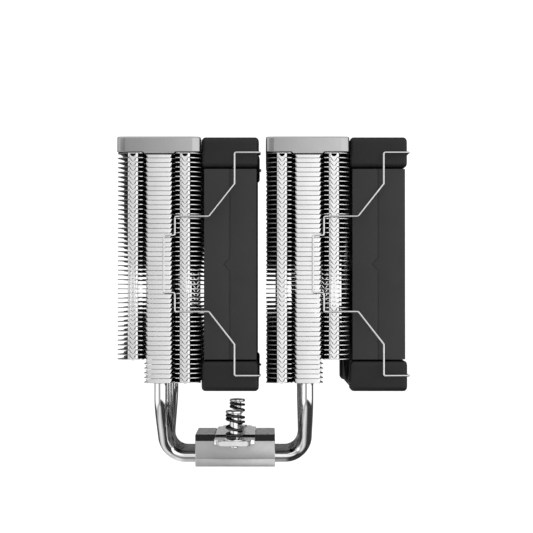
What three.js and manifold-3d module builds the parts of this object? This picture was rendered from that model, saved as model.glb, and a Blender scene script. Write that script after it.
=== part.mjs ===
// A dual-tower air cooler for a desktop processor, in millimetres with +Z up.
//
// Six heat pipes run through a clamped base and rise into two finned towers. One fan stands between
// the towers and one outside the second tower; wire clips hook each fan onto its tower. A crossbar
// with two sprung screws presses the base onto the processor.
//
// The origin is the centre of the cold plate's contact face. +X is the side that air comes from,
// and -Y is the side that is called near.

import * as THREE from 'three';
import { mergeVertices } from 'three/addons/utils/BufferGeometryUtils.js';
import Module from 'manifold-3d';

const wasm = await Module();
wasm.setup();

// ---------------------------------------------------------------- driving dimensions

const TOUCH = 0.3; // gap kept between pieces that meet on a slanting or round face

const BASE_WIDTH = 39.5; // along X
const BASE_DEPTH = 41; // along Y
const PLATE_TOP = 4;
const BLOCK_TOP = 12.7;
const CAP_TOP = 15.9;

const PIPE_RADIUS = 3;
const PIPE_SIDES = 8;
const PIPE_COUNT = 6;
const PIPE_BASE_PITCH = 6.7;
const PIPE_TOWER_PITCH = 20.8;
const PIPE_LOW_Z = 5;
const PIPE_BEND_RADIUS = 10;
const PIPE_SPREAD_FROM_Z = 6;
const PIPE_SPREAD_TO_Z = 36;
const PIPE_TOP_Z = 157.6;

const TOWER_X = 35.1; // a tower's middle, left and right of the base
const TOWER_WIDTH = 39.2;
const TOWER_DEPTH = 127;
const FIN_COUNT = 50;
const FIN_PITCH = 2.21;
const FIN_THICKNESS = 0.4;
const FIN_LOW_Z = 43.6;
const SHORT_FINS = 5; // the lowest fins stop short of the outer edge, to clear memory modules
const SHORT_FIN_REACH = 42; // how far from the base's middle the short fins reach
const SPINE_WIDTH = 8; // the fins' collars, merged into one wall around the pipes

const COVER_LOW_Z = 152.6;
const COVER_TOP_Z = 159.8;
const COVER_WALL = 1.2;
const COVER_CORNER = 4;

const FAN_SIZE = 120;
const FAN_THICKNESS = 25;
const FAN_Z = 99.7;
const FAN_TO_TOWER = 0.6; // from the pads to the fins
const FRAME_SIDE = 59.6; // half the frame's width between the pads
const DUCT_RADIUS = 58;
const DUCT_SIDES = 32;
const PAD_LENGTH = 14.2; // a pad's two legs along the fan's edges
const PAD_PROUD = 0.85; // how far the pads stand out of the frame's faces
const PAD_HOLE_RADIUS = 2.6;
const TONGUE_HALF = 7; // half the thickness of the frame's corner tongues
const TONGUE_REACH = 56.5;
const SCREW_HOLE_RADIUS = 2.15;
const SCREW_HOLE_AT = 52.5; // the fan's 105 mm hole square
const MOTOR_RADIUS = 21;

const BLADE_COUNT = 9;
const BLADE_TIP_RADIUS = 56.4;

const WIRE_RADIUS = 0.55;
const WIRE_SIDES = 6;

const BAR_HALF_WIDTH = 10;
const BAR_THICKNESS = 2.3;
const BAR_EAR_TOP = 15;
const BAR_REACH = 49.2;
const SPRING_SCREW_Y = 43.7;
const BAR_SCREW_Y = 9;

const SPRING_TOP_Z = 28;
const SPRING_WIRE_RADIUS = 0.6;
const SPRING_RADIUS = 3.55;
const WASHER_THICKNESS = 0.7;

// ---------------------------------------------------------------- materials

const metal = (color, roughness) => new THREE.MeshStandardMaterial({ color, roughness, metalness: 1 });
const plastic = (color, roughness) => new THREE.MeshStandardMaterial({ color, roughness, metalness: 0 });

const MATERIALS = {
  nickel: metal(0xc4c4c6, 0.18),
  satinNickel: metal(0xb2b2b4, 0.4),
  aluminium: metal(0xdcdddf, 0.3),
  satinAluminium: metal(0x9d9ea0, 0.45),
  steelWire: metal(0xd5d6d8, 0.2),
  brass: metal(0xb08d4a, 0.35),
  magnet: plastic(0x3a3836, 0.7),
  coil: metal(0xa3562c, 0.4),
  blackPlastic: plastic(0x303031, 0.45),
  blackRubber: plastic(0x232324, 0.75),
  blackPlate: plastic(0x28282a, 0.3),
  greenBoard: plastic(0x1f4a2c, 0.5),
  label: plastic(0x17181a, 0.35),
};

// ---------------------------------------------------------------- solids

function solidOf(geometry) {
  const bare = geometry.clone();
  bare.deleteAttribute('normal');
  bare.deleteAttribute('uv');
  const merged = mergeVertices(bare, 1e-4);
  return new wasm.Manifold(new wasm.Mesh({
    numProp: 3,
    vertProperties: merged.attributes.position.array,
    triVerts: new Uint32Array(merged.index.array),
  }));
}

function geometryOf(solid) {
  const mesh = solid.getMesh();
  return new THREE.BufferGeometry()
    .setAttribute('position', new THREE.BufferAttribute(mesh.vertProperties, 3))
    .setIndex(new THREE.BufferAttribute(mesh.triVerts, 1));
}

const join = (...pieces) => geometryOf(pieces.map(solidOf).reduce((a, b) => a.add(b)));
const cut = (piece, ...tools) => geometryOf(tools.map(solidOf).reduce((a, b) => a.subtract(b), solidOf(piece)));
const common = (a, b) => geometryOf(solidOf(a).intersect(solidOf(b)));

// Bases that stand a shape drawn in the XY plane and extruded along Z onto another axis.
const X = new THREE.Vector3(1, 0, 0);
const Y = new THREE.Vector3(0, 1, 0);
const Z = new THREE.Vector3(0, 0, 1);
const ALONG_X = new THREE.Matrix4().makeBasis(Y, Z, X);
const ALONG_MINUS_Y = new THREE.Matrix4().makeBasis(X, Z, Y.clone().negate());

function block([x0, x1], [y0, y1], [z0, z1]) {
  return new THREE.BoxGeometry(x1 - x0, y1 - y0, z1 - z0)
    .translate((x0 + x1) / 2, (y0 + y1) / 2, (z0 + z1) / 2);
}

// A round bar along Z, or along X with its centre at (y, z).
function barZ(radius, [x, y], [z0, z1], sides) {
  return new THREE.CylinderGeometry(radius, radius, z1 - z0, sides)
    .rotateX(Math.PI / 2)
    .translate(x, y, (z0 + z1) / 2);
}

function barX(radius, [y, z], [x0, x1], sides) {
  return new THREE.CylinderGeometry(radius, radius, x1 - x0, sides)
    .rotateZ(Math.PI / 2)
    .translate((x0 + x1) / 2, y, z);
}

// A ring turned about the Z axis at (x, y), or about the X axis.
function ringZ(inner, outer, [x, y], [z0, z1], sides) {
  const profile = [[inner, z0], [outer, z0], [outer, z1], [inner, z1], [inner, z0]];
  return new THREE.LatheGeometry(profile.map(([r, h]) => new THREE.Vector2(r, h)), sides)
    .rotateX(Math.PI / 2)
    .translate(x, y, 0);
}

function ringX(inner, outer, [x0, x1], sides) {
  return ringZ(inner, outer, [0, 0], [x0, x1], sides).applyMatrix4(ALONG_X);
}

function polygon(radius, sides) {
  const turn = (i) => ((i + 0.5) / sides) * 2 * Math.PI;
  return Array.from({ length: sides }, (_, i) => new THREE.Vector2(radius * Math.cos(turn(i)), radius * Math.sin(turn(i))));
}

function extrude(shape, depth) {
  return new THREE.ExtrudeGeometry(shape, { depth, bevelEnabled: false, curveSegments: 3 });
}

function roundedRectangle(width, height, radius) {
  const [w, h] = [width / 2, height / 2];
  return new THREE.Shape()
    .moveTo(-w + radius, -h)
    .lineTo(w - radius, -h)
    .absarc(w - radius, -h + radius, radius, -Math.PI / 2, 0)
    .lineTo(w, h - radius)
    .absarc(w - radius, h - radius, radius, 0, Math.PI / 2)
    .lineTo(-w + radius, h)
    .absarc(-w + radius, h - radius, radius, Math.PI / 2, Math.PI)
    .lineTo(-w, -h + radius)
    .absarc(-w + radius, -h + radius, radius, Math.PI, Math.PI * 1.5);
}

// A path through a list of points, with one extrusion step for each stretch between them.
class Route extends THREE.Curve {
  constructor(points) {
    super();
    this.points = points;
  }

  getPoint(t, target = new THREE.Vector3()) {
    const at = t * (this.points.length - 1);
    const i = Math.min(Math.floor(at), this.points.length - 2);
    return target.lerpVectors(this.points[i], this.points[i + 1], at - i);
  }

  getTangent(t, target = new THREE.Vector3()) {
    const last = this.points.length - 1;
    const i = Math.round(t * last);
    const before = this.points[Math.max(i - 1, 0)];
    const here = this.points[i];
    const after = this.points[Math.min(i + 1, last)];
    const into = here.clone().sub(before).normalize();
    const out = after.clone().sub(here).normalize();
    return target.addVectors(into, out).normalize();
  }

  getUtoTmapping(u) {
    return u;
  }
}

function tube(points, radius, sides) {
  return new THREE.ExtrudeGeometry(new THREE.Shape(polygon(radius, sides)), {
    steps: points.length - 1,
    extrudePath: new Route(points),
    bevelEnabled: false,
  });
}

// ---------------------------------------------------------------- base

const pipeIndexes = Array.from({ length: PIPE_COUNT }, (_, i) => i - (PIPE_COUNT - 1) / 2);
const baseX = [-BASE_WIDTH / 2, BASE_WIDTH / 2];
const baseY = [-BASE_DEPTH / 2, BASE_DEPTH / 2];
const GROOVE_RADIUS = PIPE_RADIUS + 0.22;
const GROOVE_SIDES = 16;

const pipeGrooves = () => pipeIndexes.map((i) => barX(
  GROOVE_RADIUS, [i * PIPE_BASE_PITCH, PIPE_LOW_Z], [-BASE_WIDTH, BASE_WIDTH], GROOVE_SIDES,
));

function coldPlate() {
  return cut(block(baseX, baseY, [0, PLATE_TOP]), ...pipeGrooves());
}

const BAR_SCREW_RADIUS = 1.5;
const BAR_SCREW_END_Z = 9.6;
const barScrewHoles = (z) => [-1, 1].map((side) => barZ(BAR_SCREW_RADIUS + 0.2, [0, side * BAR_SCREW_Y], z, 12));

function baseBlock() {
  return cut(
    block(baseX, baseY, [PLATE_TOP, BLOCK_TOP]),
    ...pipeGrooves(),
    ...barScrewHoles([BAR_SCREW_END_Z - TOUCH, BLOCK_TOP + 1]),
  );
}

const CHANNEL_FLOOR = CAP_TOP - BAR_THICKNESS - 0.1;

// The cap has a channel across it in which the crossbar lies.
function baseCap() {
  return cut(
    block(baseX, baseY, [BLOCK_TOP, CAP_TOP]),
    block([-BAR_HALF_WIDTH - 0.2, BAR_HALF_WIDTH + 0.2], [-BASE_DEPTH, BASE_DEPTH], [CHANNEL_FLOOR, CAP_TOP + 1]),
    ...barScrewHoles([BLOCK_TOP - 1, CAP_TOP]),
  );
}

// ---------------------------------------------------------------- heat pipes

const SPREAD_STEPS = 4;
const BEND_STEPS = 3;

// One leg from the base up to the tower: a bend in the XZ plane, during and after which the pipe
// swings out along Y, then a straight run up through the fins.
function pipeLeg(side, baseYOf, towerYOf) {
  const bendX = TOWER_X - PIPE_BEND_RADIUS;
  const bendZ = PIPE_LOW_Z + PIPE_BEND_RADIUS;
  const yAt = (z) => THREE.MathUtils.lerp(
    baseYOf, towerYOf, THREE.MathUtils.smoothstep(z, PIPE_SPREAD_FROM_Z, PIPE_SPREAD_TO_Z),
  );
  const leg = [];
  for (let k = 0; k <= BEND_STEPS; k++) {
    const turn = (k / BEND_STEPS) * (Math.PI / 2);
    const z = bendZ - PIPE_BEND_RADIUS * Math.cos(turn);
    leg.push(new THREE.Vector3(side * (bendX + PIPE_BEND_RADIUS * Math.sin(turn)), yAt(z), z));
  }
  for (let k = 1; k <= SPREAD_STEPS; k++) {
    const z = THREE.MathUtils.lerp(bendZ, PIPE_SPREAD_TO_Z, k / SPREAD_STEPS);
    leg.push(new THREE.Vector3(side * TOWER_X, yAt(z), z));
  }
  leg.push(new THREE.Vector3(side * TOWER_X, towerYOf, PIPE_TOP_Z));
  return leg;
}

function heatPipe(index) {
  const [atBase, atTower] = [index * PIPE_BASE_PITCH, index * PIPE_TOWER_PITCH];
  const left = pipeLeg(-1, atBase, atTower).reverse();
  return tube([...left, ...pipeLeg(1, atBase, atTower)], PIPE_RADIUS, PIPE_SIDES);
}

// ---------------------------------------------------------------- towers

const CLIP_POCKET = [-4.2, 3]; // along X, from where the clip dips in
const CLIP_POCKET_DEPTH = 1.9;
const CLIP_DIP_X = 7.5; // where a clip dips into the fins, from the tower's middle towards its fan
const CLIP_DIP_Z = [13.5, 22.4]; // above and below the fan's middle

// The fins as one comb, drawn in the XZ plane with the outer edge of the tower at -X.
function finStack(side) {
  const half = TOWER_WIDTH / 2;
  const spine = SPINE_WIDTH / 2;
  const fins = Array.from({ length: FIN_COUNT }, (_, i) => {
    const low = FIN_LOW_Z + i * FIN_PITCH;
    return { low, high: low + FIN_THICKNESS, reach: i < SHORT_FINS ? SHORT_FIN_REACH - TOWER_X : half };
  });
  const innerEdge = fins.flatMap(({ low, high }) => [[spine, low], [half, low], [half, high], [spine, high]]);
  const outerEdge = fins.reverse().flatMap(({ low, high, reach }) => [[-spine, high], [-reach, high], [-reach, low], [-spine, low]]);
  const bottomUp = innerEdge.slice(1, -1);
  const topDown = outerEdge.slice(1, -1);
  const outline = [...bottomUp, ...topDown].map(([x, z]) => new THREE.Vector2(-side * x, z));
  const comb = extrude(new THREE.Shape(side > 0 ? outline.reverse() : outline), TOWER_DEPTH)
    .applyMatrix4(ALONG_MINUS_Y)
    .translate(side * TOWER_X, TOWER_DEPTH / 2, 0);

  const bores = pipeIndexes.map((i) => barZ(
    PIPE_RADIUS + 0.35, [side * TOWER_X, i * PIPE_TOWER_PITCH], [FIN_LOW_Z - 1, COVER_TOP_Z], PIPE_SIDES,
  ));
  const dipX = side * TOWER_X + CLIP_DIP_X;
  const pockets = [-1, 1].flatMap((nearFar) => [-1, 1].map((upDown) => {
    const edge = nearFar * TOWER_DEPTH / 2;
    const y = [edge - nearFar * CLIP_POCKET_DEPTH, edge + nearFar].sort((a, b) => a - b);
    const z = CLIP_DIP_Z.map((dip, i) => FAN_Z + upDown * (dip + (i ? 1 : -1))).sort((a, b) => a - b);
    return block(CLIP_POCKET.map((x) => dipX + x), y, z);
  }));
  return cut(comb, ...bores, ...pockets);
}

function topCover(side) {
  const outer = extrude(roundedRectangle(TOWER_WIDTH, TOWER_DEPTH, COVER_CORNER), COVER_TOP_Z - COVER_LOW_Z)
    .translate(side * TOWER_X, 0, COVER_LOW_Z);
  const inner = extrude(
    roundedRectangle(TOWER_WIDTH - 2 * COVER_WALL, TOWER_DEPTH - 2 * COVER_WALL, COVER_CORNER - COVER_WALL),
    COVER_TOP_Z - COVER_LOW_Z,
  ).translate(side * TOWER_X, 0, COVER_LOW_Z - COVER_WALL);
  return cut(outer, inner);
}

// ---------------------------------------------------------------- fans, in the fan's own frame

// The fan's frame has its origin in the fan's middle, and air leaves it towards -X.
const faceX = FAN_THICKNESS / 2;
const padX = faceX + PAD_PROUD;
const padInner = FAN_SIZE / 2 - PAD_LENGTH;
const MOTOR_PLATE = [-faceX, -10.7];
const BOSS_RADIUS = 5.2;
const BOSS_END = 2.5;
const SLEEVE_OUTER = 3.3;
const SHAFT_RADIUS = 1.25;
const RING_SIDES = 16;
const STRUT_COUNT = 4;

const corners = [[1, -1], [1, 1], [-1, -1], [-1, 1]];
const sorted = (a, b) => (a < b ? [a, b] : [b, a]);

// A block in one corner of the fan, from `inner` to `outer` along both edges.
function cornerBlock([sy, sz], inner, outer, halfThickness) {
  return block([-halfThickness, halfThickness], sorted(sy * inner, sy * outer), sorted(sz * inner, sz * outer));
}

function fanFrame() {
  const square = block([-faceX, faceX], [-FRAME_SIDE, FRAME_SIDE], [-FRAME_SIDE, FRAME_SIDE]);
  const duct = barX(DUCT_RADIUS, [0, 0], [-FAN_THICKNESS, FAN_THICKNESS], DUCT_SIDES);
  const notches = corners.map((c) => cornerBlock(c, padInner - TOUCH, FAN_SIZE, FAN_THICKNESS));
  const tongues = corners.map((c) => cornerBlock(c, padInner - 1, TONGUE_REACH, TONGUE_HALF));
  const holes = corners.map(([sy, sz]) => barX(
    SCREW_HOLE_RADIUS, [sy * SCREW_HOLE_AT, sz * SCREW_HOLE_AT], [-FAN_THICKNESS, FAN_THICKNESS], 8,
  ));
  const shell = cut(join(cut(square, duct, ...notches), ...tongues), ...holes);

  const strutWidth = 3.2;
  const struts = Array.from({ length: STRUT_COUNT }, (_, i) => block(
    [-faceX, -9.4], [-strutWidth / 2, strutWidth / 2], [MOTOR_RADIUS - 1, DUCT_RADIUS + 0.8],
  ).rotateX((i + 0.5) * (2 * Math.PI / STRUT_COUNT)));
  const motorPlate = barX(MOTOR_RADIUS, [0, 0], MOTOR_PLATE, 24);
  const boss = ringX(SLEEVE_OUTER + TOUCH, BOSS_RADIUS, [MOTOR_PLATE[1] - 0.5, BOSS_END], RING_SIDES);
  return join(shell, ...struts, motorPlate, boss);
}

function cornerPad(corner) {
  const [sy, sz] = corner;
  return cut(
    cornerBlock(corner, padInner, FAN_SIZE / 2, padX),
    cornerBlock(corner, padInner - 1, TONGUE_REACH + TOUCH, TONGUE_HALF + TOUCH),
    barX(PAD_HOLE_RADIUS, [sy * SCREW_HOLE_AT, sz * SCREW_HOLE_AT], [-FAN_THICKNESS, FAN_THICKNESS], 10),
  );
}

const HUB_INNER = 19.4;
const HUB_RANGE = [-9, 10];
const HUB_TOP = 1.6;
const HUB_SIDES = 18;
const BLADE_ROOT_RADIUS = MOTOR_RADIUS - 0.6;
const BLADE_THICKNESS = 1.3;

// A blade starts as a flat box, whose points are then laid on a twisted, swept surface.
function blade(index) {
  const { degToRad, lerp } = THREE.MathUtils;
  const plate = new THREE.BoxGeometry(1, 1, 1, 3, 2, 1);
  const points = plate.attributes.position;
  for (let i = 0; i < points.count; i++) {
    const out = points.getX(i) + 0.5;
    const along = points.getY(i);
    const radius = lerp(BLADE_ROOT_RADIUS, BLADE_TIP_RADIUS, out);
    const turn = degToRad(lerp(33, 31, out) * along + 14 * out ** 1.5) + (index / BLADE_COUNT) * 2 * Math.PI;
    const lift = lerp(15, 9, out) * along + 1 + points.getZ(i) * BLADE_THICKNESS;
    points.setXYZ(i, lift, radius * Math.cos(turn), radius * Math.sin(turn));
  }
  return plate;
}

function impeller() {
  const cup = cut(
    barX(MOTOR_RADIUS, [0, 0], HUB_RANGE, HUB_SIDES),
    barX(HUB_INNER, [0, 0], [HUB_RANGE[0] - 1, HUB_RANGE[1] - HUB_TOP], HUB_SIDES),
  );
  const blades = Array.from({ length: BLADE_COUNT }, (_, i) => blade(i));
  const inside = barX(HUB_INNER - 0.4, [0, 0], [HUB_RANGE[0] - 1, HUB_RANGE[1] - HUB_TOP], HUB_SIDES);
  const boss = ringX(SHAFT_RADIUS + 0.25, 3.4, [5, HUB_RANGE[1] - HUB_TOP / 2], 12);
  return join(cut(join(cup, ...blades), inside), boss);
}

const motorShaft = () => barX(SHAFT_RADIUS, [0, 0], [-9, HUB_RANGE[1] - HUB_TOP - TOUCH], 12);
const magnetRing = () => ringX(16.2, 18, [-8.5, 3.5], RING_SIDES);
const rotorYoke = () => ringX(18.2, 18.8, [-8.8, 5], RING_SIDES);
const bearingSleeve = () => ringX(SHAFT_RADIUS + 0.15, SLEEVE_OUTER, [-10.4, 2.2], 12);
const circuitBoard = () => ringX(BOSS_RADIUS + TOUCH, 17, [-10.4, -9.2], RING_SIDES);
const hubLabel = () => barX(17, [0, 0], [-faceX - 0.3, -faceX], RING_SIDES);

const POLE_COUNT = 4;

function stator() {
  const core = ringX(BOSS_RADIUS + TOUCH, 8, [-8.2, 1.8], RING_SIDES);
  const rim = ringX(13.6, 15.5, [-8.2, 1.8], RING_SIDES);
  const poles = Array.from({ length: POLE_COUNT }, (_, i) => {
    const turn = (2 * Math.PI * i) / POLE_COUNT;
    return join(
      block([-8.2, 1.8], [-2.4, 2.4], [7.4, 14]).rotateX(turn),
      common(rim, block([-9, 3], [-8, 8], [9, 17]).rotateX(turn)),
    );
  });
  return join(core, ...poles);
}

// ---------------------------------------------------------------- clips, in the fan's own frame

const FAN_OFFSET = TOWER_WIDTH / 2 + FAN_TO_TOWER + padX; // from a tower's middle to its fan's
const HOOK_X = padX + 0.15 + WIRE_RADIUS;
const HOOK_Y = SCREW_HOLE_AT - 0.9;
const CLIP_Y = TOWER_DEPTH / 2 + 0.1 + WIRE_RADIUS;
const DIP_X = CLIP_DIP_X - FAN_OFFSET;

// Half of the near clip, from the hook in the fan's upper corner to the finger loop, as x, y, z.
// A clip swings about the upright line through its hooks, at HOOK_X and HOOK_Y.
const CLIP_HALF = [
  [HOOK_X - 3.2, -HOOK_Y, SCREW_HOLE_AT],
  [HOOK_X, -HOOK_Y, SCREW_HOLE_AT],
  [HOOK_X, -CLIP_Y, SCREW_HOLE_AT],
  [2.05, -CLIP_Y, SCREW_HOLE_AT],
  [2.05, -CLIP_Y, 37.7],
  [-9.95, -CLIP_Y, CLIP_DIP_Z[1]],
  [-23.9, -CLIP_Y, CLIP_DIP_Z[1]],
  [DIP_X, -CLIP_Y + 1.0, CLIP_DIP_Z[1]],
  [DIP_X, -CLIP_Y + 1.0, CLIP_DIP_Z[0]],
  [DIP_X - 5.2, -CLIP_Y - 0.3, CLIP_DIP_Z[0]],
];

function clip(nearFar) {
  const upper = CLIP_HALF.map(([x, y, z]) => new THREE.Vector3(x, -nearFar * y, z));
  const lower = CLIP_HALF.map(([x, y, z]) => new THREE.Vector3(x, -nearFar * y, -z)).reverse();
  return tube([...upper, ...lower], WIRE_RADIUS, WIRE_SIDES);
}

// ---------------------------------------------------------------- crossbar and screws

// The bar lies in the cap's channel and steps down to an ear at each end.
function crossbar() {
  const half = BASE_DEPTH / 2;
  const outline = [
    [-BAR_REACH, BAR_EAR_TOP], [-half - 2.4, BAR_EAR_TOP], [-half - 0.6, CAP_TOP],
    [half + 0.6, CAP_TOP], [half + 2.4, BAR_EAR_TOP], [BAR_REACH, BAR_EAR_TOP],
  ];
  const under = outline.slice().reverse().map(([y, z]) => [y, z - BAR_THICKNESS]);
  const side = extrude(
    new THREE.Shape([...under, ...outline].map(([y, z]) => new THREE.Vector2(y, z))), 2 * BAR_HALF_WIDTH,
  ).applyMatrix4(ALONG_X).translate(-BAR_HALF_WIDTH, 0, 0);

  const taperFrom = 39;
  const tip = 6.5;
  const plan = [
    [tip, -BAR_REACH], [BAR_HALF_WIDTH, -taperFrom], [BAR_HALF_WIDTH, taperFrom], [tip, BAR_REACH],
    [-tip, BAR_REACH], [-BAR_HALF_WIDTH, taperFrom], [-BAR_HALF_WIDTH, -taperFrom], [-tip, -BAR_REACH],
  ].map(([x, y]) => new THREE.Vector2(x, y));
  const trimmed = common(side, extrude(new THREE.Shape(plan), CAP_TOP + 1));

  const springScrewHoles = [-1, 1].map((end) => barZ(2.5, [0, end * SPRING_SCREW_Y], [0, CAP_TOP + 1], 16));
  return cut(trimmed, ...springScrewHoles, ...barScrewHoles([0, CAP_TOP + 1]));
}

function crossbarScrew(end) {
  const at = [0, end * BAR_SCREW_Y];
  const head = cut(
    barZ(2.8, at, [CAP_TOP, CAP_TOP + 1.5], 16),
    block([-1.7, 1.7], [at[1] - 0.35, at[1] + 0.35], [CAP_TOP + 0.7, CAP_TOP + 2]),
    block([-0.35, 0.35], [at[1] - 1.7, at[1] + 1.7], [CAP_TOP + 0.7, CAP_TOP + 2]),
  );
  return join(head, barZ(BAR_SCREW_RADIUS, at, [BAR_SCREW_END_Z, CAP_TOP + 0.3], 12));
}

const SPRING_SCREW_TIP_Z = 11.4;
const HEAD_TOP_Z = SPRING_TOP_Z + 1.6;

function springScrew(end) {
  const at = [0, end * SPRING_SCREW_Y];
  const head = cut(
    barZ(4.1, at, [SPRING_TOP_Z, HEAD_TOP_Z], 20),
    block([-2.2, 2.2], [at[1] - 0.5, at[1] + 0.5], [HEAD_TOP_Z - 1, HEAD_TOP_Z + 1]),
    block([-0.5, 0.5], [at[1] - 2.2, at[1] + 2.2], [HEAD_TOP_Z - 1, HEAD_TOP_Z + 1]),
  );
  const shoulder = barZ(2.2, at, [CAP_TOP, SPRING_TOP_Z + 0.3], 12);
  const thread = barZ(1.9, at, [SPRING_SCREW_TIP_Z, CAP_TOP + 0.5], 12);
  return join(head, shoulder, thread);
}

const retainingRing = (end) => ringZ(2.1, 2.9, [0, end * SPRING_SCREW_Y], [12.1, 12.5], 16);
const springWasher = (end) => ringZ(
  2.6, 5.1, [0, end * SPRING_SCREW_Y], [BAR_EAR_TOP, BAR_EAR_TOP + WASHER_THICKNESS], 16,
);

const SPRING_TURNS = 5;
const SPRING_STEPS = 40;
const CLOSED_PITCH = 1.3; // how far a closed end turn rises
const CLOSED_LOW = 1; // closed turns at the bottom, and at the top
const CLOSED_HIGH = 2;

// A left-hand coil with closed end turns and two open ones between them.
function coilSpring(end) {
  const low = BAR_EAR_TOP + WASHER_THICKNESS + SPRING_WIRE_RADIUS + 0.05;
  const high = SPRING_TOP_Z - SPRING_WIRE_RADIUS - 0.05;
  const openTurns = SPRING_TURNS - CLOSED_LOW - CLOSED_HIGH;
  const openPitch = (high - low - CLOSED_PITCH * (CLOSED_LOW + CLOSED_HIGH)) / openTurns;
  const points = Array.from({ length: SPRING_STEPS + 1 }, (_, i) => {
    const turns = (i / SPRING_STEPS) * SPRING_TURNS;
    const open = THREE.MathUtils.clamp(turns - CLOSED_LOW, 0, openTurns);
    const z = low + CLOSED_PITCH * (turns - open) + openPitch * open;
    const turn = -2 * Math.PI * turns;
    return new THREE.Vector3(
      SPRING_RADIUS * Math.cos(turn), end * SPRING_SCREW_Y + SPRING_RADIUS * Math.sin(turn), z,
    );
  });
  return tube(points, SPRING_WIRE_RADIUS, 5);
}

// ---------------------------------------------------------------- the cooler

const cooler = new THREE.Group();

function place(parent, name, geometry, material) {
  const mesh = new THREE.Mesh(geometry, material);
  mesh.name = name;
  parent.add(mesh);
}

place(cooler, 'cold_plate', coldPlate(), MATERIALS.nickel);
place(cooler, 'base_block', baseBlock(), MATERIALS.satinAluminium);
place(cooler, 'base_cap', baseCap(), MATERIALS.blackPlate);
pipeIndexes.forEach((index, i) => place(cooler, `heat_pipe_${i + 1}`, heatPipe(index), MATERIALS.nickel));

for (const [name, side] of [['left', -1], ['right', 1]]) {
  place(cooler, `fin_stack_${name}`, finStack(side), MATERIALS.aluminium);
  place(cooler, `top_cover_${name}`, topCover(side), MATERIALS.satinAluminium);
}

const CORNER_NAMES = ['far_lower', 'far_upper', 'near_lower', 'near_upper'];

for (const [name, towerSide] of [['middle', -1], ['outer', 1]]) {
  const fan = new THREE.Group();
  fan.position.set(towerSide * TOWER_X + FAN_OFFSET, 0, FAN_Z);
  cooler.add(fan);
  place(fan, `fan_frame_${name}`, fanFrame(), MATERIALS.blackPlastic);
  place(fan, `hub_label_${name}`, hubLabel(), MATERIALS.label);
  place(fan, `impeller_${name}`, impeller(), MATERIALS.blackPlastic);
  place(fan, `motor_shaft_${name}`, motorShaft(), MATERIALS.steelWire);
  place(fan, `magnet_ring_${name}`, magnetRing(), MATERIALS.magnet);
  place(fan, `rotor_yoke_${name}`, rotorYoke(), MATERIALS.satinNickel);
  place(fan, `bearing_sleeve_${name}`, bearingSleeve(), MATERIALS.brass);
  place(fan, `circuit_board_${name}`, circuitBoard(), MATERIALS.greenBoard);
  place(fan, `stator_${name}`, stator(), MATERIALS.coil);
  corners.forEach((corner, i) => place(fan, `pad_${name}_${CORNER_NAMES[i]}`, cornerPad(corner), MATERIALS.blackRubber));
  place(fan, `clip_${name}_near`, clip(-1), MATERIALS.steelWire);
  place(fan, `clip_${name}_far`, clip(1), MATERIALS.steelWire);
}

place(cooler, 'crossbar', crossbar(), MATERIALS.satinNickel);
for (const [name, end] of [['near', -1], ['far', 1]]) {
  place(cooler, `crossbar_screw_${name}`, crossbarScrew(end), MATERIALS.nickel);
  place(cooler, `spring_screw_${name}`, springScrew(end), MATERIALS.nickel);
  place(cooler, `retaining_ring_${name}`, retainingRing(end), MATERIALS.nickel);
  place(cooler, `spring_washer_${name}`, springWasher(end), MATERIALS.satinNickel);
  place(cooler, `coil_spring_${name}`, coilSpring(end), MATERIALS.steelWire);
}

export default cooler;
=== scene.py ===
"""Looks of a dual-tower processor cooler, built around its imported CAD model.

Lengths inside the functions are in millimetres and become metres when a shape is built. +X is the
side that air comes from, -Y is the near side and +Z is up.
"""

import math

import bpy
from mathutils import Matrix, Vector


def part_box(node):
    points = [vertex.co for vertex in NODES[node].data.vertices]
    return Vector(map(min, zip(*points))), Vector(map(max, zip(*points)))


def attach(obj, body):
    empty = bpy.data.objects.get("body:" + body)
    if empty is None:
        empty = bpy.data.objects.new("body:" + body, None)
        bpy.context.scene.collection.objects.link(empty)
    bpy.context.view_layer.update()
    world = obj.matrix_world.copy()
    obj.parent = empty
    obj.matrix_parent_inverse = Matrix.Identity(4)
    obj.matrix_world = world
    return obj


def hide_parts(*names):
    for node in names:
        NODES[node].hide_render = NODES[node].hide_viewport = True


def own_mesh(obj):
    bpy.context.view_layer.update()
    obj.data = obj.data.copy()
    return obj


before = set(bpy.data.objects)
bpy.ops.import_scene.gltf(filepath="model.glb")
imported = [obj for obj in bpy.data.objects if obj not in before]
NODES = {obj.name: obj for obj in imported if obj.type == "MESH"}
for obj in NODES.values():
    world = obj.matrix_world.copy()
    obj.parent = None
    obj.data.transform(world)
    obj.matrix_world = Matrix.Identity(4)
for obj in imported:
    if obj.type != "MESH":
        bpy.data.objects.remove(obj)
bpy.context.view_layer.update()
MM = 0.001


def low(node):
    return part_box(node)[0] / MM


def high(node):
    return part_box(node)[1] / MM


def middle(node):
    return (low(node) + high(node)) / 2


def mix(a, b, t):
    return a + (b - a) * t


def smoothstep(x, a, b):
    t = min(max((x - a) / (b - a), 0), 1)
    return t * t * (3 - 2 * t)


# ---------------------------------------------------------------- materials


MIX_A, MIX_B, MIX_RESULT = 6, 7, 2  # a Mix node's sockets for colours
NOISE_ROUGHNESS = 0.55
NOISE_LOW, NOISE_HIGH = 0.3, 0.7  # most of a noise texture lies between these


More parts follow.
